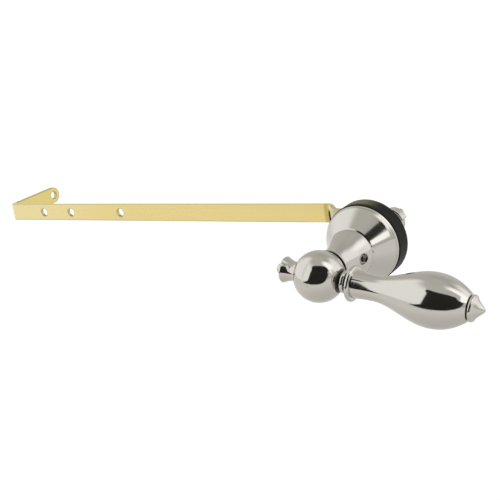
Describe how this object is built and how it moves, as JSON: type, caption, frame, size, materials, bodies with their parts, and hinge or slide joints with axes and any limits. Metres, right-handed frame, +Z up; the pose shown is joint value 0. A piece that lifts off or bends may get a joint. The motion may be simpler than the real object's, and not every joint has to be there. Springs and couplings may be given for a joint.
{
  "type": "cistern lever",
  "caption": "Front-mounted cistern lever: turned teardrop handle with a ball hub, conical escutcheon with gasket and threaded shank, and a folded strip arm that lifts the flush chain.",
  "frame": {"origin": "centre of the tank hole on the tank's outer face, which is the back plane of the gasket, on the spindle's axis", "axes": "+Y along the spindle into the tank, -Y towards the user, +X towards the handle's tip, +Z up"},
  "size_m": [0.3343, 0.1371, 0.0394],
  "materials": {
    "polished_nickel": "polished nickel plate on brass",
    "brass_strip": "bright rolled strip, faintly drawn lengthwise",
    "turned_brass": "plain turned brass",
    "plain_steel": "plain stainless steel",
    "black_rubber": "matt moulded rubber"
  },
  "bodies": {
    "mounting": {"escutcheon": "polished_nickel", "gasket": "black_rubber", "mounting_nut": "turned_brass"},
    "turning_lever": {"spindle": "turned_brass", "stop_pin": "plain_steel", "handle_hub": "polished_nickel", "hub_set_screw": "plain_steel", "lever_stud": "plain_steel", "lever": "polished_nickel", "tip_finial": "polished_nickel", "hub_knob": "polished_nickel", "arm": "brass_strip"}
  },
  "joints": [
    {"name": "lever_turn", "type": "hinge", "parent": "mounting", "child": "turning_lever", "pos_m": [0, 0, 0], "axis": [0, 1, 0], "range_deg": [0, 35]}
  ]
}
